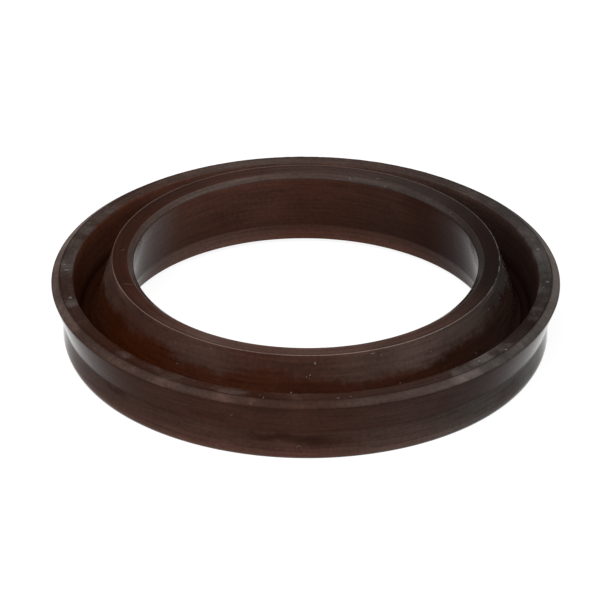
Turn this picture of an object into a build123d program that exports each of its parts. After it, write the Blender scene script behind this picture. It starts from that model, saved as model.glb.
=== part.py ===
from build123d import *

import os
from math import acos, atan2, cos, hypot, sin

# U cup seal: one ring of moulded rubber with a U-shaped section.
# Units are millimetres. +Z is up and runs along the ring's axis.
# The origin is at the middle of the heel's flat base, so the open groove looks up.
# All sizes are free sizes, before the seal is pressed into its gland.

# Heel: the solid foot of the U, which seats against the end wall of the gland. Its outer wall
# rounds in to the base, so that the foot goes into the gland without catching.
heel_outer_diameter = 51.3
heel_inner_diameter = 38.4
heel_outer_height = 3.2
heel_inner_height = 2.6
heel_round_height = 1.0
heel_round_width = 0.3

# Lead-in: the bore widens below the heel's inner line, and a shallow chamfer ends it at the base.
lead_in_width = 0.7
lead_in_chamfer_height = 0.5
lead_in_chamfer_width = 0.9

# Outer lip: flares out of the heel to its sealing edge, then a bevel and a trimmed flat tip.
outer_lip_height = 7.3
outer_lip_flare = 1.2
outer_bevel_height = 0.55
outer_bevel_width = 0.8
outer_tip_width = 1.45

# Inner lip: taller than the outer lip, it leans in over the bore to its own sealing edge.
inner_lip_height = 9.3
inner_lip_lean = 1.05
inner_bevel_height = 0.5
inner_bevel_width = 0.65
inner_tip_width = 1.65

# Groove between the lips: two leaning walls that run into a round root.
groove_floor_height = 2.7
groove_root_radius = 0.6
outer_lip_root_thickness = 1.85

NODE = "u_cup_seal"


def tangent_point(start, centre, radius, side):
    """Point where a line from start touches a circle; side is +1 or -1 for which of the two."""
    away = hypot(start[0] - centre[0], start[1] - centre[1])
    bearing = atan2(start[1] - centre[1], start[0] - centre[0])
    angle = bearing + side * acos(radius / away)
    return (centre[0] + radius * cos(angle), centre[1] + radius * sin(angle))


def outside_points():
    """Outside of the seal above the heel's round: heel wall, flared wall, bevel and flat tip."""
    heel_radius = heel_outer_diameter / 2
    edge_radius = heel_radius + outer_lip_flare
    bevel_radius = edge_radius - outer_bevel_width
    return [
        (heel_radius, heel_round_height),
        (heel_radius, heel_outer_height),
        (edge_radius, outer_lip_height - outer_bevel_height),
        (bevel_radius, outer_lip_height),
        (bevel_radius - outer_tip_width, outer_lip_height),
    ]


def inside_points():
    """Inside of the seal from the groove over the inner lip and down the bore to the base."""
    heel_radius = heel_inner_diameter / 2
    edge_radius = heel_radius - inner_lip_lean
    bevel_radius = edge_radius + inner_bevel_width
    lead_in_radius = heel_radius + lead_in_width
    return [
        (bevel_radius + inner_tip_width, inner_lip_height),
        (bevel_radius, inner_lip_height),
        (edge_radius, inner_lip_height - inner_bevel_height),
        (heel_radius, heel_inner_height),
        (lead_in_radius, lead_in_chamfer_height),
        (lead_in_radius + lead_in_chamfer_width, 0),
    ]


def ring_section():
    """Half section of the ring in the XZ plane, with X as the radius."""
    outside = outside_points()
    inside = inside_points()
    root_centre_radius = heel_outer_diameter / 2 - outer_lip_root_thickness - groove_root_radius
    root_centre = (root_centre_radius, groove_floor_height + groove_root_radius)
    groove_floor = (root_centre_radius, groove_floor_height)
    outer_wall_foot = tangent_point(outside[-1], root_centre, groove_root_radius, -1)
    inner_wall_foot = tangent_point(inside[0], root_centre, groove_root_radius, 1)
    base_edge = (heel_outer_diameter / 2 - heel_round_width, 0)
    with BuildSketch(Plane.XZ) as section:
        with BuildLine():
            TangentArc(outside[0], base_edge, tangent=(0, -1))
            Polyline(*outside, outer_wall_foot)
            ThreePointArc(outer_wall_foot, groove_floor, inner_wall_foot)
            Polyline(inner_wall_foot, *inside, base_edge)
        make_face()
    return section.sketch


def u_cup_seal():
    """The whole ring: the section turned once round the axis."""
    with BuildPart() as ring:
        add(ring_section())
        revolve(axis=Axis.Z)
    return ring.part


os.makedirs("parts", exist_ok=True)
seal = u_cup_seal()
seal.label = NODE
export_step(seal, f"parts/{NODE}.step")
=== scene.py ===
import math

import bpy
import numpy as np
from mathutils import Matrix, Vector

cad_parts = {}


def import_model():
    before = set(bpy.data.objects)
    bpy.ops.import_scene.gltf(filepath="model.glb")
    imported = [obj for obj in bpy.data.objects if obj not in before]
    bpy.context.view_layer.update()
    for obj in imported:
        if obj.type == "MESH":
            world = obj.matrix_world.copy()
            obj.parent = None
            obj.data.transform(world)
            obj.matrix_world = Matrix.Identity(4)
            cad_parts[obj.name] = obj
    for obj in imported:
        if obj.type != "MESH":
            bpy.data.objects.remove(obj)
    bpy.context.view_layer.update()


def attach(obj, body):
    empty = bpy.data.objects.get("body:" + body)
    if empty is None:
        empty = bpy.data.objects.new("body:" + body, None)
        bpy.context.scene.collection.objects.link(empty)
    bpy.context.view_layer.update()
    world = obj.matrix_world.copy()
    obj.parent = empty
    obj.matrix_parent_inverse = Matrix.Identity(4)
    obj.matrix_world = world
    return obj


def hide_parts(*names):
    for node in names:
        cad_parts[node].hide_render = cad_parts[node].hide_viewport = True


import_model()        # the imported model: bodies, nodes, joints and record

# The seal is one moulded rubber ring. Here it is drawn as one dense mesh, turned from the same
# section as the CAD solid, with the small things the solid leaves out: eased corners, the flash
# line, the knife-trimmed tip of the outer lip, moulding streaks, creases, stains, lint and dust.
# Section sizes are in millimetres, as in the CAD source; MM turns them into metres.
# Bearings run clockwise seen from above: 0 is +X (right), 90 front (-Y), 180 left, 270 back.
MM = 0.001
NODE = "u_cup_seal"

# ---------------------------------------------------------------- section, in millimetres
# Corners of the section as (radius, height), anticlockwise from the bottom of the heel. The tips
# of the inner lip and the outer lip's edge are a hair inside the solid's, to leave room for relief.
FOOT_BOTTOM = (25.35, 0.0)
FOOT_TOP = (25.65, 1.0)
HEEL_TOP = (25.65, 3.2)
OUTER_EDGE = (26.84, 6.75)
OUTER_TIP = (26.05, 7.3)
OUTER_TIP_INNER = (24.6, 7.3)
GROOVE_ROOT = (23.2, 3.3)
GROOVE_ROOT_RADIUS = 0.6
INNER_TIP_OUTER = (20.45, 9.28)
INNER_TIP = (18.8, 9.28)
INNER_EDGE = (18.15, 8.8)
HEEL_INNER = (19.2, 2.6)
LEAD_IN = (19.9, 0.5)
BASE_INNER = (20.8, 0.0)
FLASH_WIDTH = 0.11
HIGHEST = 9.3
SEGMENTS = 900

# ---------------------------------------------------------------- relief, in millimetres
# How far the surface stands out along the section's normal, and how rough it is.
SKIN_ROUGHNESS = 0.0035
CUT_ROUGHNESS = 0.016
CUT_DEPTH = 0.01
GROOVE_EDGE_ROUGHNESS = 0.03
GROOVE_EDGE_DEPTH = 0.02
RIM_ROUGHNESS = 0.01
RIM_DEPTH = 0.004
FLASH_HEIGHT = 0.014
CREASE_DEPTH = 0.02

# ---------------------------------------------------------------- colour of each zone, with painted light, shade and sheen
# The rubber is a brown black, and a grey bloom lies over it in places. At each bearing, a zone has
# a brightness (thousandths of white) and a greyness (0 bare rubber, 1 all grey). The levels follow
# how bright each zone looks from the front, so they hold painted light, shade and sheen as well as the
# rubber's tone. The inner lip's top is painted dark at the right and light at the front, and the groove's
# root is painted dark at the right. The heel, flare and outer bevel are painted pale grey where the sheen
# lies, near bearings 340 to 25, 163 and 195.
TONE_SCALE = 0.001
RUBBER_TINT = np.array((1.0, 0.23, 0.07))
# the bloom's grey, also used for the painted sheen where the stops are pale and grey
BLOOM_AND_SHEEN_TINT = np.array((1.0, 0.95, 0.89))
TONE_AND_PAINTED_LIGHT = {
    "heel_out": [(0, 90, 1.0), (25, 80, 1.0), (45, 58, 0.8), (68, 60, 0.5), (90, 54, 0.32), (135, 54, 0.35),
                 (180, 56, 0.55), (270, 52, 0.35)],
    "foot": [(0, 90, 1.0), (25, 80, 1.0), (45, 60, 0.8), (68, 62, 0.5), (90, 55, 0.32), (135, 55, 0.35),
             (180, 56, 0.55), (270, 52, 0.35)],
    "flare": [(0, 60, 0.8), (18, 100, 0.9), (30, 62, 0.8), (45, 30, 0.45), (62, 46, 0.4), (90, 48, 0.24),
              (118, 47, 0.2), (136, 34, 0.05), (152, 46, 0.5), (163, 80, 0.8), (180, 50, 0.5),
              (270, 46, 0.25)],
    "bevel_out": [(0, 110, 0.8), (15, 90, 0.85), (30, 50, 0.85), (45, 56, 0.85), (60, 70, 0.65),
                  (75, 66, 0.55), (90, 46, 0.35), (120, 56, 0.5), (150, 44, 0.5), (165, 62, 0.65),
                  (180, 80, 0.6), (195, 120, 0.7), (210, 100, 0.7), (225, 45, 0.6), (270, 50, 0.75),
                  (315, 45, 0.7), (335, 90, 0.8), (348, 140, 0.8)],
    "trim": [(0, 34, 0.9), (22, 15, 0.5), (45, 32, 0.6), (60, 38, 0.4), (90, 43, 0.3),
             (105, 32, 0.15), (120, 39, 0.3), (140, 31, 0.15), (165, 34, 0.35), (190, 40, 0.55),
             (225, 50, 0.45), (255, 76, 0.6), (285, 60, 0.55), (315, 44, 0.7), (335, 46, 0.85)],
    "groove_out": [(0, 23, 0.4), (90, 80, 0.05), (180, 57, 0.1), (195, 70, 0.15), (210, 62, 0.15),
                   (270, 50, 0.45), (330, 23, 0.45)],
    "root": [(0, 8, 0.3), (90, 40, 0.0), (180, 20, 0.05), (270, 30, 0.15)],
    "wall_in": [(0, 40, 0.4), (20, 36, 0.4), (45, 32, 0.2), (60, 44, 0.15), (120, 48, 0.1),
                (145, 40, 0.0), (180, 40, 0.1), (270, 40, 0.15)],
    "top": [(0, 9, 0.15), (15, 10, 0.25), (30, 26, 0.35), (45, 47, 0.35), (60, 57, 0.4),
            (75, 74, 0.4), (90, 78, 0.4), (105, 67, 0.35), (120, 76, 0.45), (135, 60, 0.3),
            (150, 39, 0.15), (165, 28, 0.0), (210, 27, 0.0), (225, 28, 0.15), (240, 41, 0.2),
            (270, 48, 0.4), (285, 44, 0.5), (315, 26, 0.6), (330, 17, 0.4), (345, 11, 0.15)],
    "bevel_in": [(0, 19, 0.7), (90, 60, 0.45), (180, 55, 0.5), (210, 69, 0.6), (240, 86, 0.65),
                 (255, 82, 0.6), (270, 62, 0.55), (300, 55, 0.7), (315, 45, 0.75), (345, 29, 0.65)],
    "bore": [(90, 44, 0.2), (195, 60, 0.5), (210, 80, 0.5), (225, 68, 0.2), (255, 65, 0.25),
             (270, 52, 0.2), (300, 38, 0.25), (315, 22, 0.05), (345, 20, 0.25)],
    "lead_in": [(90, 60, 0.3), (210, 73, 0.25), (225, 110, 0.35), (240, 108, 0.4), (255, 92, 0.35),
                (270, 73, 0.25), (300, 70, 0.3), (315, 49, 0.25), (330, 30, 0.4)],
    "chamfer": [(0, 50, 0.4), (90, 50, 0.2)],
    "base": [(0, 46, 0.3), (90, 46, 0.2)],
}
# The same for the lighter top of the inner lip's wall, which is painted light above the groove's shade
# with ragged patches of bloom, for the bloom on the trimmed tip, and for the flash line, which is
# paler than the rubber and is brightened by bearing as a painted highlight along its bead.
WALL_LIGHT_AND_HAZE = [(0, 70, 0.85), (10, 50, 0.85), (22, 38, 0.7), (32, 52, 0.6), (60, 78, 0.55),
             (72, 62, 0.45), (90, 53, 0.3), (105, 52, 0.25), (120, 60, 0.4), (150, 42, 0.25),
             (165, 54, 0.4), (180, 72, 0.5), (270, 50, 0.35)]
TRIM_BLOOM = [(0, 62, 0.9), (45, 72, 0.85), (90, 72, 0.55), (180, 66, 0.8), (270, 95, 0.65)]
# the flash line: a pale bead, with a painted highlight along it that changes by bearing
FLASH_AND_HIGHLIGHT = [(0, 110, 0.85), (30, 130, 0.75), (45, 230, 0.8), (60, 210, 0.7), (75, 240, 0.65),
         (90, 230, 0.6), (105, 190, 0.55), (135, 170, 0.55), (165, 180, 0.5), (180, 70, 0.3),
         (195, 100, 0.5), (270, 110, 0.5), (315, 80, 0.6), (330, 70, 0.75), (345, 110, 0.85)]
# How the brightness changes across a zone, from its first corner (0) to its last (1). These too follow
# how bright each band looks from the front, and the lighter inner edge of the top is a painted highlight.
ACROSS = {
    "foot": [(0, 2.1), (0.5, 1.75), (1, 1.35)],
    "heel_out": [(0, 1.2), (0.3, 1.0), (0.7, 0.95), (1, 0.85)],
    "flare": [(0, 0.95), (0.3, 1.05), (0.85, 0.95), (1, 0.85)],
    "bevel_out": [(0, 0.8), (0.25, 1.05), (0.8, 1.0), (1, 0.72)],
    "trim": [(0, 0.78), (0.06, 0.76), (0.15, 0.85), (0.3, 1.0), (0.8, 1.0), (1, 0.9)],
    "groove_out": [(0, 1.8), (0.12, 1.3), (0.2, 1.0), (1, 1.0)],
    "top": [(0, 1.0), (0.14, 1.0), (0.19, 0.62), (0.25, 1.0), (0.4, 1.08), (0.6, 0.86), (0.8, 1.1),
            (0.92, 1.3), (1, 1.2)],
    "bevel_in": [(0, 1.0), (0.8, 1.0), (1, 0.5)],
    "bore": [(0, 1.2), (0.2, 1.15), (0.5, 1.0), (0.8, 0.9), (1, 0.8)],
    "lead_in": [(0, 0.8), (0.3, 0.95), (1, 1.5)],
}
# Height in mm at which the lighter top of the inner lip's wall ends, which is painted light above the
# groove's shade with some bloom, and how much of the trimmed tip and of the outer lip's bevel the
# bloom covers, each by bearing.
LIGHT_AND_HAZE_FOOT = [(0, 6.6), (15, 7.0), (22, 7.6), (30, 6.9), (37, 7.4), (45, 6.7), (70, 6.7), (82, 7.2),
             (92, 6.8), (101, 7.5), (106, 6.8), (125, 6.3), (138, 7.4), (150, 7.1), (165, 6.8),
             (180, 7.4), (270, 7.0)]
TRIM_COVER = [(0, 0.5), (12, 0.3), (22, 0.35), (30, 0.2), (38, 0.5), (52, 0.5), (56, 0.2),
              (75, 0.32), (100, 0.3), (108, 0.42), (112, 0.25), (128, 0.4), (135, 0.25),
              (163, 0.2), (165, 0.52),
              (172, 0.5), (176, 0.35), (181, 0.6), (200, 0.45), (209, 0.5), (215, 0.3), (270, 0.25),
              (335, 0.35), (345, 0.5), (355, 0.5)]
BEVEL_COVER = [(0, 0.2), (45, 0.35), (52, 0.5), (60, 0.25), (83, 0.35), (95, 0.2), (101, 0.6),
               (106, 0.25), (132, 0.45), (140, 0.3), (160, 0.45), (200, 0.4), (270, 0.2)]
# Stains: bearing, half width in degrees, height and half height in mm, and the brightness in them.
OUTSIDE_STAINS = [(94, 15, 2.6, 0.5, 0.55), (84, 9, 2.1, 0.4, 0.7), (140, 6, 2.95, 0.35, 0.6),
                  (34, 8, 1.6, 1.2, 0.75), (139, 2, 3.7, 0.4, 1.4), (57, 4, 5.0, 1.2, 0.9),
                  (112, 7, 4.4, 0.5, 0.88), (72, 9, 5.6, 0.4, 1.12)]
STAIN_TINT = np.array((1.0, 0.86, 0.84))
BEVEL_BLOOM = 1.6            # how much brighter the bloom is than the rubber on the bevel
GROOVE_EDGE_BLOOM = 0.8      # how bright the bloom is just inside the groove, against the tip's
CREASES = (12, 24)           # middle bearing and half width in degrees of the creased wall
BROKEN_FLASH = (5, 40)       # the same for the part of the flash line that is broken up


# ---------------------------------------------------------------- seeded noise, periodic round the ring
def smooth(f):
    """Eases 0..1 in and out."""
    return f * f * (3 - 2 * f)


def ring_noise(turn, across, cells_round, cell_across, seed):
    """Smooth noise of about -1 to 1. turn is 0..1 round the ring; across is a length in mm."""
    rng = np.random.default_rng(seed)
    rows = 64
    grid = rng.uniform(-1, 1, (rows, cells_round))
    u = (turn % 1.0) * cells_round
    v = across / cell_across
    iu = np.floor(u).astype(int)
    iv = np.floor(v).astype(int)
    su = smooth(u - iu)
    sv = smooth(v - iv)

    def at(du, dv):
        return grid[(iv + dv) % rows, (iu + du) % cells_round]

    low = at(0, 0) * (1 - su) + at(1, 0) * su
    high = at(0, 1) * (1 - su) + at(1, 1) * su
    return low * (1 - sv) + high * sv


def rough(turn, across, cells_round, cell_across, seed, octaves=3):
    """Layers of ring_noise, each half the size of the one before."""
    total = 0.0
    size = 1.0
    for k in range(octaves):
        total = total + size * ring_noise(turn, across, cells_round * 2**k, cell_across / 2**k, seed + k)
        size *= 0.5
    return total


# ---------------------------------------------------------------- section
def tangent_point(start, centre, radius, side):
    """Point where a line from start touches a circle; side is +1 or -1 for which of the two."""
    away = math.hypot(start[0] - centre[0], start[1] - centre[1])
    bearing = math.atan2(start[1] - centre[1], start[0] - centre[0])
    angle = bearing + side * math.acos(radius / away)
    return (centre[0] + radius * math.cos(angle), centre[1] + radius * math.sin(angle))


FOOT_OUT = tangent_point(OUTER_TIP_INNER, GROOVE_ROOT, GROOVE_ROOT_RADIUS, -1)
FOOT_IN = tangent_point(INNER_TIP_OUTER, GROOVE_ROOT, GROOVE_ROOT_RADIUS, 1)


def even(steps):
    """Evenly spaced places from 0, leaving out 1, which is the next zone's first."""
    return [k / steps for k in range(steps)]


# Each zone: its first corner, the easing radius there, and its points' places across it.
ZONES = [
    ("foot", FOOT_BOTTOM, 0.0, even(4)),
    ("heel_out", FOOT_TOP, 0.0, even(5)),
    ("flare", HEEL_TOP, 0.2, even(8)),
    ("bevel_out", OUTER_EDGE, 0.05, even(4)),
    ("trim", OUTER_TIP, 0.012, [0, 0.04, 0.1, 0.22, 0.35, 0.48, 0.6, 0.73, 0.86]),
    ("groove_out", OUTER_TIP_INNER, 0.1, even(4)),
    ("root", FOOT_OUT, 0.0, even(5)),
    ("wall_in", FOOT_IN, 0.0, [0, 0.2, 0.38, 0.48, 0.56, 0.64, 0.72, 0.79, 0.86, 0.93]),
    ("top", INNER_TIP_OUTER, 0.03, [0, 0.03, 0.06, 0.1, 0.15, 0.2, 0.25, 0.4, 0.6, 0.8, 0.92]),
    ("bevel_in", INNER_TIP, 0.16, even(4)),
    ("bore", INNER_EDGE, 0.04, even(6)),
    ("lead_in", HEEL_INNER, 0.2, even(5)),
    ("chamfer", LEAD_IN, 0.05, even(2)),
    ("base", BASE_INNER, 0.06, even(2)),
]
FIRST_CORNER = {zone: Vector(corner) for zone, corner, _, _ in ZONES}
LAST_CORNER = {zone: Vector(ZONES[(i + 1) % len(ZONES)][1]) for i, (zone, *_) in enumerate(ZONES)}


# Centres of the two round runs. The foot's arc meets the heel's wall with no corner.
FOOT_WIDTH = FOOT_TOP[0] - FOOT_BOTTOM[0]
FOOT_ROUND_RADIUS = (FOOT_WIDTH**2 + FOOT_TOP[1] ** 2) / (2 * FOOT_WIDTH)
ARC_CENTRES = {"foot": (FOOT_TOP[0] - FOOT_ROUND_RADIUS, FOOT_TOP[1]), "root": GROOVE_ROOT}


def arc(zone, places):
    """Points of a round run, taken the short way from its first corner to its last."""
    centre = Vector(ARC_CENTRES[zone])
    first = FIRST_CORNER[zone]
    last = LAST_CORNER[zone]
    radius = (first - centre).length
    start = math.atan2(first.y - centre.y, first.x - centre.x)
    sweep = math.atan2(last.y - centre.y, last.x - centre.x) - start
    sweep = (sweep + math.pi) % (2 * math.pi) - math.pi
    for place in places:
        a = start + sweep * place
        yield (centre.x + radius * math.cos(a), centre.y + radius * math.sin(a), zone, place)


def section():
    """Closed loop of (radius, height, zone, place across the zone) in mm, with eased corners."""
    points = []
    for i, (zone, corner, ease, places) in enumerate(ZONES):
        if zone in ARC_CENTRES:
            points.extend(arc(zone, places))
            continue
        here = Vector(corner)
        after = LAST_CORNER[zone]
        before = Vector(ZONES[i - 1][1])
        run = (after - here).length
        leave = here + (after - here).normalized() * ease
        end = after - (after - here).normalized() * ZONES[(i + 1) % len(ZONES)][2]
        if ease:
            arrive = here + (before - here).normalized() * ease
            for t in (0, 1 / 3, 2 / 3):
                p = arrive * (1 - t) ** 2 + here * 2 * t * (1 - t) + leave * t * t
                side = (zone, 0.0) if t > 0.5 else (ZONES[i - 1][0], 1.0)
                points.append((p.x, p.y, *side))
        for place in places:
            p = leave.lerp(end, place)
            points.append((p.x, p.y, zone, (p - here).length / run))
    return points


def eased(stops, bearing):
    """Values at each bearing, eased between the stops, which wrap round at 360 degrees."""
    places = np.array([s[0] for s in stops] + [stops[0][0] + 360.0])
    values = np.array([s[1:] for s in stops] + [stops[0][1:]], dtype=float)
    b = (bearing - places[0]) % 360.0 + places[0]
    i = np.clip(np.searchsorted(places, b, side="right") - 1, 0, len(places) - 2)
    f = smooth((b - places[i]) / (places[i + 1] - places[i]))[:, None]
    return values[i] * (1 - f) + values[i + 1] * f


def tone_round(stops, bearing):
    """Linear colour at each bearing, from stops of (bearing, brightness, greyness)."""
    brightness, greyness = eased(stops, bearing).T
    tint = RUBBER_TINT + (BLOOM_AND_SHEEN_TINT - RUBBER_TINT) * greyness[:, None]
    return tint * brightness[:, None] * TONE_SCALE


def near(bearing, centre, half_width):
    """1 at a bearing, easing to 0 at half_width degrees each side."""
    return smooth(np.clip(1 - np.abs((bearing - centre + 180) % 360 - 180) / half_width, 0, 1))


def relief(turn, run, bearing, parts):
    """How far each point is pushed out along the section's normal, in mm."""
    push = SKIN_ROUGHNESS * rough(turn, run, 90, 2.0, 31, 4)
    push += parts["trim"] * (CUT_ROUGHNESS * rough(turn, run, 170, 0.8, 11) - CUT_DEPTH)
    edge = GROOVE_EDGE_ROUGHNESS * rough(turn, run, 140, 0.6, 91) - GROOVE_EDGE_DEPTH
    push += parts["ragged_edge"] * edge
    push += parts["rim"] * (RIM_ROUGHNESS * rough(turn, run, 300, 0.3, 81) - RIM_DEPTH)
    push += parts["flash"] * FLASH_HEIGHT * flash_left(bearing)[:, None]
    return push + CREASE_DEPTH * creases(turn, run, bearing, parts["wall"])


def flash_left(bearing):
    """How much of the flash line is left at each bearing: 1, or 0.2 where it is torn off."""
    torn = ring_noise(bearing / -360.0, 0 * bearing, 200, 1.0, 71) > 0
    return 1 - 0.8 * near(bearing, *BROKEN_FLASH) * torn


def creases(turn, run, bearing, wall):
    """Slanting creases on one part of the inner lip's outer wall."""
    return near(bearing, *CREASES)[:, None] * wall * rough(turn + run / 900, run, 110, 3.0, 51)


def colour_of_rubber(turn, run, bearing, zones, u0, parts):
    """Base colour of each point, with the painted light, shade and sheen that the zone tones hold, and the
    stains on the outside of the ring.
    """
    tone = np.zeros(turn.shape + (3,))
    for zone, stops in TONE_AND_PAINTED_LIGHT.items():
        cols = np.where(zones == zone)[0]
        across = ACROSS.get(zone, [(0, 1), (1, 1)])
        scale = np.interp(u0[cols], [a[0] for a in across], [a[1] for a in across])
        tone[:, cols, :] = tone_round(stops, bearing)[:, None, :] * scale[None, :, None]
    flash = parts["flash"]
    tone[:, flash, :] = tone_round(FLASH_AND_HIGHLIGHT, bearing)[:, None, :] * flash_left(bearing)[:, None, None]
    outside = np.isin(zones, ("foot", "heel_out", "flare"))
    for centre, half_width, height, half_height, factor in OUTSIDE_STAINS:
        ragged = (run + 0.25 * rough(turn, run, 120, 1.0, 61)) - (run[:, outside][0, 0] + height)
        level = np.clip(1.3 - np.abs(ragged) / half_height, 0, 1)
        mask = np.clip(near(bearing, centre, half_width)[:, None] * level * 1.6, 0, 1) * outside
        tone *= 1 + (factor * (STAIN_TINT if factor < 1 else 1) - 1) * mask[:, :, None]
    return tone


def colour_of_bloom(bearing, tone, parts):
    """Colour of the bloom, which lies over the rubber in patches, and on the inner lip's wall the colour of
    the painted light above the groove's shade.
    """
    bloom = tone.copy()
    # on the wall: painted light above the groove's shade, with some bloom
    bloom[:, parts["wall"], :] = tone_round(WALL_LIGHT_AND_HAZE, bearing)[:, None, :]
    on_tip = tone_round(TRIM_BLOOM, bearing)[:, None, :]
    bloom[:, parts["trim"], :] = on_tip
    bloom[:, parts["bevel"], :] *= BEVEL_BLOOM
    bloom[:, parts["groove_edge"], :] = on_tip * GROOVE_EDGE_BLOOM
    return bloom


def cover_of_bloom(turn, run, bearing, height, u0, parts):
    """How much of each place the bloom covers, from 0 for none to 1 for all; on the inner lip's wall this
    is the painted light with its bloom.
    """
    cover = np.zeros(turn.shape)
    wall = parts["wall"]
    # the wall's painted light ends near this height, with the groove's darker tone below
    above_foot = (height[:, wall] - eased(LIGHT_AND_HAZE_FOOT, bearing)) / 1.4
    cover[:, wall] = 0.5 + 0.5 * np.clip(above_foot, -1, 1)
    # painted light and shade on the creases: the cover is raised on their ridges and lowered in their
    # hollows
    cover += 0.45 * creases(turn, run, bearing, wall)
    cover[:, parts["trim"]] = eased(TRIM_COVER, bearing)
    cover[:, parts["bevel"]] = eased(BEVEL_COVER, bearing)
    edge = parts["groove_edge"]
    cover[:, edge] = eased(TRIM_COVER, bearing) - 1.5 * u0[edge]
    return cover


def ring_mesh(name):
    loop = section()
    count = len(loop)
    r0 = np.array([p[0] for p in loop])
    z0 = np.array([p[1] for p in loop])
    zones = np.array([p[2] for p in loop])
    u0 = np.array([p[3] for p in loop])
    on_tip = zones == "trim"
    in_groove = zones == "groove_out"
    trim = on_tip & (u0 > 0.06)
    bevel = zones == "bevel_out"
    parts = {
        "trim": trim,
        "bevel": bevel,
        "rim": (bevel & (u0 > 0.7)) | (on_tip & (u0 <= 0.06)),
        "ragged_edge": (in_groove & (u0 < 0.05)) | (trim & (u0 > 0.8)),
        "groove_edge": in_groove & (u0 < 0.3),
        "wall": zones == "wall_in",
        "flash": (zones == "top") & (u0 < FLASH_WIDTH / (INNER_TIP_OUTER[0] - INNER_TIP[0])),
    }
    round_ring = np.arange(SEGMENTS) / SEGMENTS
    bearing = (round_ring * -360.0) % 360.0
    turn = np.repeat(round_ring[:, None], count, 1)
    along_section = np.concatenate([[0], np.cumsum(np.hypot(np.diff(r0), np.diff(z0)))])
    run = np.repeat(along_section[None, :], SEGMENTS, 0)
    dr = np.roll(r0, -1) - np.roll(r0, 1)
    dz = np.roll(z0, -1) - np.roll(z0, 1)
    length = np.hypot(dr, dz)
    push = relief(turn, run, bearing, parts)
    radius = r0 + (dz / length) * push
    height = np.clip(z0 - (dr / length) * push, 0.0, HIGHEST)
    angle = turn * 2 * math.pi
    co = np.stack([radius * np.cos(angle), radius * np.sin(angle), height], -1).reshape(-1, 3) * MM
    i = np.arange(SEGMENTS)[:, None]
    j = np.arange(count)[None, :]
    i2 = (i + 1) % SEGMENTS
    j2 = (j + 1) % count
    corners = [i * count + j, i2 * count + j, i2 * count + j2, i * count + j2]
    quads = np.stack(corners, -1).reshape(-1, 4)
    mesh = bpy.data.meshes.new(name)
    mesh.from_pydata(co.tolist(), [], quads.tolist())
    mesh.update()
    mesh.shade_smooth()
    dull = trim | bevel | parts["rim"] | np.isin(zones, ("groove_out", "root"))
    mesh.polygons.foreach_set("material_index", np.tile(dull, SEGMENTS).astype(np.int32))
    # tone and bloom carry the painted light, shade and sheen of the zone tones along with the rubber's
    # colour and bloom
    tone = colour_of_rubber(turn, run, bearing, zones, u0, parts)
    store(mesh, "cover", "FLOAT", cover_of_bloom(turn, run, bearing, height, u0, parts))
    store(mesh, "tone", "FLOAT_COLOR", tone)
    store(mesh, "bloom", "FLOAT_COLOR", colour_of_bloom(bearing, tone, parts))
    ring = bpy.data.objects.new(name, mesh)
    bpy.context.scene.collection.objects.link(ring)
    print("ring:", count, "points round the section,", 2 * count * SEGMENTS, "triangles")
    return ring


def store(mesh, name, kind, values):
    """Keep a value or a colour for each point of the mesh, for the materials to read."""
    attribute = mesh.attributes.new(name, kind, "POINT")
    if kind == "FLOAT_COLOR":
        values = np.concatenate([values, np.ones(values.shape[:2] + (1,))], -1)
        attribute.data.foreach_set("color", values.astype(np.float32).ravel())
    else:
        attribute.data.foreach_set("value", values.astype(np.float32).ravel())


# ---------------------------------------------------------------- materials
class Graph:
    """Short ways to add nodes to a material."""

    def __init__(self, name):
        self.material = bpy.data.materials.new(name)
        self.material.use_nodes = True
        self.nodes = self.material.node_tree.nodes
        self.links = self.material.node_tree.links
        self.shader = self.nodes["Principled BSDF"]

    def add(self, kind, **settings):
        node = self.nodes.new(kind)
        for key, value in settings.items():
            setattr(node, key, value)
        return node

    def math(self, operation, *values):
        node = self.add("ShaderNodeMath", operation=operation)
        for socket, value in zip(node.inputs, values):
            if isinstance(value, (int, float)):
                socket.default_value = value
            else:
                self.links.new(value, socket)
        return node.outputs[0]

    def weighted(self, base, *pairs):
        """base plus each weight times its value."""
        total = base
        for weight, value in pairs:
            total = self.math("MULTIPLY_ADD", value, weight, total)
        return total

    def noise(self, vector, scale, detail):
        node = self.add("ShaderNodeTexNoise")
        node.inputs["Scale"].default_value = scale
        node.inputs["Detail"].default_value = detail
        self.links.new(vector, node.inputs["Vector"])
        return node.outputs["Fac"]

    def attribute(self, name, output):
        return self.add("ShaderNodeAttribute", attribute_name=name).outputs[output]


def streak_coordinates(g, place):
    """Coordinates that are slow along the ring and fast across its section."""
    apart = g.add("ShaderNodeSeparateXYZ")
    g.links.new(place, apart.inputs[0])
    flat = g.add("ShaderNodeCombineXYZ")
    g.links.new(apart.outputs[0], flat.inputs[0])
    g.links.new(apart.outputs[1], flat.inputs[1])
    radius = g.add("ShaderNodeVectorMath", operation="LENGTH")
    g.links.new(flat.outputs[0], radius.inputs[0])
    across = g.math("ADD", radius.outputs["Value"], apart.outputs[2])
    joined = g.add("ShaderNodeCombineXYZ")
    for socket, value, scale in zip(joined.inputs, (apart.outputs[0], apart.outputs[1], across),
                                    (160.0, 160.0, 4200.0)):
        g.links.new(g.math("MULTIPLY", value, scale), socket)
    return joined.outputs[0]


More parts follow.
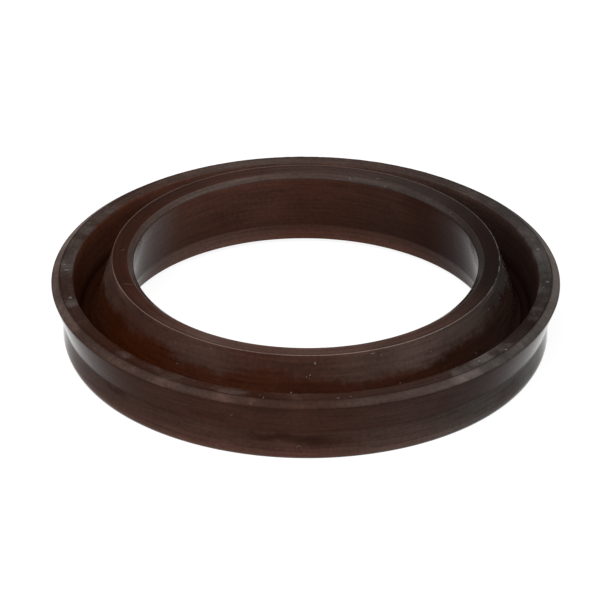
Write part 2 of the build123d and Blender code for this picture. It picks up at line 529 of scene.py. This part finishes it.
def rubber(name, coat, roughness):
    """The ring's rubber. The faint shine of its moulded skin is the coat."""
    g = Graph(name)
    g.shader.inputs["IOR"].default_value = 1.5
    g.shader.inputs["Specular IOR Level"].default_value = 0.01
    g.shader.inputs["Coat Weight"].default_value = coat
    g.shader.inputs["Coat IOR"].default_value = 1.04
    g.shader.inputs["Coat Roughness"].default_value = 0.07
    place = g.add("ShaderNodeTexCoord").outputs["Object"]
    streaks = g.noise(streak_coordinates(g, place), 1.0, 3.0)
    mottle = g.noise(place, 260.0, 5.0)
    patches = g.noise(place, 1300.0, 6.0)
    grain = g.noise(place, 2600.0, 4.0)
    # ragged patches of bloom, and of the painted light on the inner lip's wall, where the cover attribute
    # and the noise together are high enough
    reach = g.weighted(-0.75, (1.0, g.attribute("cover", "Fac")), (0.3, patches), (1.2, mottle))
    mask = g.add("ShaderNodeMapRange", interpolation_type="SMOOTHSTEP")
    mask.inputs["From Min"].default_value = 0.3
    mask.inputs["From Max"].default_value = 0.7
    g.links.new(reach, mask.inputs["Value"])
    mix = g.add("ShaderNodeMix", data_type="RGBA")
    g.links.new(mask.outputs[0], mix.inputs["Factor"])
    g.links.new(g.attribute("tone", "Color"), mix.inputs[6])
    g.links.new(g.attribute("bloom", "Color"), mix.inputs[7])
    vary = g.weighted(-0.1, (1.0, streaks), (0.5, mottle), (0.7, grain))
    colour = g.add("ShaderNodeVectorMath", operation="SCALE")
    g.links.new(mix.outputs[2], colour.inputs[0])
    g.links.new(vary, colour.inputs["Scale"])
    g.links.new(colour.outputs[0], g.shader.inputs["Base Color"])
    g.links.new(g.weighted(roughness, (0.06, grain)), g.shader.inputs["Roughness"])
    bump = g.add("ShaderNodeBump")
    bump.inputs["Strength"].default_value = 0.5
    bump.inputs["Distance"].default_value = 0.00005
    g.links.new(g.weighted(0.0, (1.0, streaks), (0.6, grain)), bump.inputs["Height"])
    g.links.new(bump.outputs[0], g.shader.inputs["Normal"])
    return g.material


def dust():
    """Pale dry dust and lint."""
    g = Graph("pale_dust")
    place = g.add("ShaderNodeTexCoord").outputs["Object"]
    grain = g.noise(place, 5000.0, 3.0)
    ramp = g.add("ShaderNodeValToRGB")
    ramp.color_ramp.elements[0].position = 0.3
    ramp.color_ramp.elements[0].color = (0.06, 0.045, 0.04, 1)
    ramp.color_ramp.elements[1].position = 0.7
    ramp.color_ramp.elements[1].color = (0.2, 0.175, 0.16, 1)
    g.links.new(grain, ramp.inputs[0])
    g.links.new(ramp.outputs[0], g.shader.inputs["Base Color"])
    g.shader.inputs["Specular IOR Level"].default_value = 0.1
    g.links.new(g.weighted(0.7, (0.3, grain)), g.shader.inputs["Roughness"])
    return g.material


seal = ring_mesh("seal_ring")
# the first is for the moulded faces, the second for the trimmed tip, the bevel and the groove's depth
seal.data.materials.append(rubber("seal_rubber_moulded", 1.0, 0.08))
seal.data.materials.append(rubber("seal_rubber_cut", 0.0, 0.5))
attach(seal, "root")
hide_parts(NODE)


# ---------------------------------------------------------------- dust flakes and lint
# The larger flakes and the fibres have set places, and the fine dust is strewn at random.
# Flakes: zone, bearing, place across the zone, and about two thirds of the length and width in mm.
FLAKES = [
    ("trim", 36.8, 0.12, 0.3, 0.2), ("wall_in", 70.4, 0.95, 0.5, 0.1), ("wall_in", 67.8, 0.9, 0.12, 0.12),
    ("wall_in", 87.2, 0.88, 0.14, 0.26), ("wall_in", 88.6, 0.69, 0.12, 0.18),
    ("wall_in", 89.6, 0.66, 0.14, 0.14), ("wall_in", 88.9, 0.64, 0.08, 0.1),
    ("wall_in", 52.0, 0.73, 0.16, 0.1), ("wall_in", 60.3, 0.68, 0.12, 0.1),
    ("wall_in", 61.2, 0.7, 0.1, 0.12), ("wall_in", 62.0, 0.65, 0.14, 0.1),
    ("wall_in", 93.8, 0.41, 0.2, 0.16), ("wall_in", 36.0, 0.35, 0.14, 0.12),
    ("wall_in", 24.0, 0.8, 0.3, 0.08), ("wall_in", 15.0, 0.74, 0.25, 0.1),
    ("wall_in", 130.0, 0.83, 0.1, 0.1), ("wall_in", 118.0, 0.92, 0.2, 0.07),
    ("bevel_out", 52.0, 0.6, 0.16, 0.08), ("trim", 82.5, 0.22, 0.3, 0.1), ("trim", 79.5, 0.3, 0.22, 0.08),
    ("trim", 99.5, 0.15, 0.12, 0.14), ("trim", 100.4, 0.4, 0.1, 0.08),
    ("bevel_out", 102.0, 0.27, 0.14, 0.1),
    ("bevel_out", 132.0, 0.5, 0.14, 0.08), ("bevel_out", 134.0, 0.3, 0.1, 0.08),
    ("bevel_in", 212.0, 0.66, 0.2, 0.1), ("bevel_in", 284.9, 0.49, 0.16, 0.12),
    ("bevel_in", 297.6, 0.67, 0.18, 0.1), ("bevel_in", 326.0, 0.4, 0.14, 0.1),
    ("trim", 181.5, 0.5, 0.3, 0.5), ("trim", 184.0, 0.3, 0.25, 0.3), ("trim", 168.0, 0.6, 0.3, 0.25),
    ("trim", 347.0, 0.5, 0.3, 0.3), ("trim", 3.0, 0.4, 0.3, 0.3), ("trim", 45.0, 0.5, 0.25, 0.2),
]
# Fibres: zone, and the (bearing, place across the zone) of each point along the fibre.
FIBRES = [
    ("top", [(163.3, 0.34), (162.9, 0.5), (162.2, 0.72), (161.7, 0.95)]),
    ("top", [(183.5, 0.5), (184.2, 0.62), (184.8, 0.78)]),
    ("top", [(293.3, 0.92), (293.9, 0.8), (294.6, 0.66)]),
    ("flare", [(106.2, 0.58), (106.6, 0.5), (107.2, 0.4)]),
    ("heel_out", [(92.0, 0.1), (91.9, 0.22), (91.5, 0.31), (91.0, 0.28), (90.8, 0.12)]),
]
FIBRE_RADIUS = 0.028
FLAKE_HEIGHT = 0.02
FINE_DUST = 50


def on_surface(zone, bearing, place, proud=0.0):
    """Point on a zone, and the directions along the ring, across the zone and out of it."""
    first = FIRST_CORNER[zone]
    last = LAST_CORNER[zone]
    p = first.lerp(last, place)
    a = -math.radians(bearing)
    outward = Vector((math.cos(a), math.sin(a), 0))
    along = Vector((-math.sin(a), math.cos(a), 0))
    run = (last - first).normalized()
    across = outward * run.x + Vector((0, 0, run.y))
    normal = outward * run.y - Vector((0, 0, run.x))
    point = outward * p.x + Vector((0, 0, p.y)) + normal * proud
    return point, along, across, normal


def flake(faces, points, rng, zone, bearing, place, length, width):
    """A thin, irregular domed flake, half sunk in the rubber."""
    centre, along, across, normal = on_surface(zone, bearing, place)
    sides = 9
    start = len(points)
    points.append(centre + normal * FLAKE_HEIGHT)
    for reach, lift in ((0.6, 0.7), (1.0, -0.5)):
        for k in range(sides):
            a = 2 * math.pi * k / sides
            size = reach * rng.uniform(0.65, 1.1)
            points.append(centre + along * (math.cos(a) * size * length * 0.75)
                          + across * (math.sin(a) * size * width * 0.75) + normal * (FLAKE_HEIGHT * lift))
    for k in range(sides):
        inner, outer = start + 1, start + 1 + sides
        n = (k + 1) % sides
        faces.append((start, inner + k, inner + n))
        faces.append((inner + k, outer + k, outer + n, inner + n))


def fibre(faces, points, zone, route):
    """A thin round fibre lying on a zone, half sunk in it."""
    sides = 6
    start = len(points)
    spine = [on_surface(zone, bearing, place, -0.3 * FIBRE_RADIUS) for bearing, place in route]
    for i, (centre, *_, normal) in enumerate(spine):
        ahead = spine[min(i + 1, len(spine) - 1)][0] - spine[max(i - 1, 0)][0]
        side = ahead.cross(normal).normalized()
        thin = FIBRE_RADIUS * (0.5 if i in (0, len(spine) - 1) else 1.0)
        for k in range(sides):
            a = 2 * math.pi * k / sides
            points.append(centre + side * (math.cos(a) * thin) + normal * (math.sin(a) * thin))
    for i in range(len(spine) - 1):
        for k in range(sides):
            n = (k + 1) % sides
            a, b = start + i * sides, start + (i + 1) * sides
            faces.append((a + k, a + n, b + n, b + k))
    faces.append(tuple(start + k for k in reversed(range(sides))))
    faces.append(tuple(start + (len(spine) - 1) * sides + k for k in range(sides)))


def dust_piece(name, points, faces):
    """A mesh object of flakes or fibres that rides with the seal."""
    mesh = bpy.data.meshes.new(name)
    mesh.from_pydata([tuple(p * MM) for p in points], [], faces)
    mesh.update()
    mesh.shade_smooth()
    piece = bpy.data.objects.new(name, mesh)
    bpy.context.scene.collection.objects.link(piece)
    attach(piece, "root")
    return piece


def dust_and_lint():
    material = dust()
    rng = np.random.default_rng(5)
    points = []
    faces = []
    for place in FLAKES:
        flake(faces, points, rng, *place)
    for _ in range(FINE_DUST):
        zone = str(rng.choice(["trim", "wall_in", "bevel_out", "bevel_in"]))
        size = rng.uniform(0.04, 0.1)
        bearing = rng.uniform(0, 360)
        flake(faces, points, rng, zone, bearing, rng.uniform(0.12, 0.9), size * 1.4, size)
    dust_piece("dust_flakes", points, faces).data.materials.append(material)
    points = []
    faces = []
    for zone, route in FIBRES:
        fibre(faces, points, zone, route)
    dust_piece("lint_fibres", points, faces).data.materials.append(material)


dust_and_lint()


# ---------------------------------------------------------------- floor, world and lamps
FLOOR_SIZE = 3.0


def ray_kind(nodes, links):
    """1 for camera, glossy and transmission rays, 0 for the rest."""
    path = nodes.new("ShaderNodeLightPath")
    first = nodes.new("ShaderNodeMath")
    first.operation = "MAXIMUM"
    links.new(path.outputs["Is Camera Ray"], first.inputs[0])
    links.new(path.outputs["Is Glossy Ray"], first.inputs[1])
    both = nodes.new("ShaderNodeMath")
    both.operation = "MAXIMUM"
    links.new(first.outputs[0], both.inputs[0])
    links.new(path.outputs["Is Transmission Ray"], both.inputs[1])
    return both.outputs[0]


def floor():
    """White floor that keeps the object's shadow and lights the object as plain matt white."""
    h = FLOOR_SIZE / 2
    mesh = bpy.data.meshes.new("floor")
    mesh.from_pydata([(-h, -h, 0), (h, -h, 0), (h, h, 0), (-h, h, 0)], [], [(0, 1, 2, 3)])
    plane = bpy.data.objects.new("floor", mesh)
    bpy.context.scene.collection.objects.link(plane)
    mat = bpy.data.materials.new("floor_white")
    mat.use_nodes = True
    nodes = mat.node_tree.nodes
    links = mat.node_tree.links
    nodes.clear()
    out = nodes.new("ShaderNodeOutputMaterial")
    lit = nodes.new("ShaderNodeBsdfDiffuse")
    lit.inputs["Color"].default_value = (0.8, 0.8, 0.8, 1)
    faint = nodes.new("ShaderNodeBsdfDiffuse")
    faint.inputs["Color"].default_value = (0.2, 0.2, 0.2, 1)
    glow = nodes.new("ShaderNodeEmission")
    glow.inputs["Strength"].default_value = 0.9
    seen = nodes.new("ShaderNodeAddShader")
    links.new(faint.outputs[0], seen.inputs[0])
    links.new(glow.outputs[0], seen.inputs[1])
    pick = nodes.new("ShaderNodeMixShader")
    links.new(ray_kind(nodes, links), pick.inputs[0])
    links.new(lit.outputs[0], pick.inputs[1])
    links.new(seen.outputs[0], pick.inputs[2])
    links.new(pick.outputs[0], out.inputs["Surface"])
    mesh.materials.append(mat)


def world():
    """Even fill light, seen as white behind the object."""
    sky = bpy.data.worlds.new("studio")
    bpy.context.scene.world = sky
    sky.use_nodes = True
    nodes = sky.node_tree.nodes
    links = sky.node_tree.links
    nodes.clear()
    out = nodes.new("ShaderNodeOutputWorld")
    fill = nodes.new("ShaderNodeBackground")
    fill.inputs["Strength"].default_value = 0.55
    white = nodes.new("ShaderNodeBackground")
    white.inputs["Strength"].default_value = 1.0
    pick = nodes.new("ShaderNodeMixShader")
    links.new(ray_kind(nodes, links), pick.inputs[0])
    links.new(fill.outputs[0], pick.inputs[1])
    links.new(white.outputs[0], pick.inputs[2])
    links.new(pick.outputs[0], out.inputs["Surface"])


def softbox(name, place, size, watts):
    """Square soft lamp that faces the object."""
    lamp = bpy.data.lights.new(name, "AREA")
    lamp.shape = "SQUARE"
    lamp.size = size
    lamp.energy = watts
    obj = bpy.data.objects.new(name, lamp)
    obj.location = place
    obj.rotation_mode = "QUATERNION"
    obj.rotation_quaternion = (-Vector(place)).to_track_quat("-Z", "Y")
    bpy.context.scene.collection.objects.link(obj)


floor()
world()
softbox("front_softbox", (-0.15, -0.4, 0.7), 0.7, 5.5)


# ---------------------------------------------------------------- camera
LENS_MM = 363.2
SENSOR_MM = 36.0
CAMERA_DISTANCE = 0.642
CAMERA_ELEVATION = math.radians(30.12)
CAMERA_ROLL = math.radians(0.31)
BASE_RIGHT_OF_CENTRE = math.radians(0.053)
BASE_BELOW_CENTRE = math.radians(0.322)


def camera():
    data = bpy.data.cameras.new("camera")
    data.lens = LENS_MM
    data.sensor_width = SENSOR_MM
    data.clip_start = 0.01
    data.clip_end = 20
    cam = bpy.data.objects.new("camera", data)
    e = CAMERA_ELEVATION
    forward = Vector((0, math.cos(e), -math.sin(e)))
    right = Vector((1, 0, 0))
    up = right.cross(forward)
    eye = -forward * CAMERA_DISTANCE
    # the frame's centre looks a little above and to the left of the middle of the base
    look = forward - right * math.tan(BASE_RIGHT_OF_CENTRE) + up * math.tan(BASE_BELOW_CENTRE)
    back = -look.normalized()
    side = up.cross(back).normalized()
    top = back.cross(side)
    turn = Matrix((side, top, back)).transposed()
    cam.matrix_world = Matrix.Translation(eye) @ turn.to_4x4() @ Matrix.Rotation(CAMERA_ROLL, 4, "Z")
    bpy.context.scene.collection.objects.link(cam)
    bpy.context.scene.camera = cam


camera()
bpy.context.scene.view_settings.view_transform = "Standard"

bpy.context.view_layer.update()
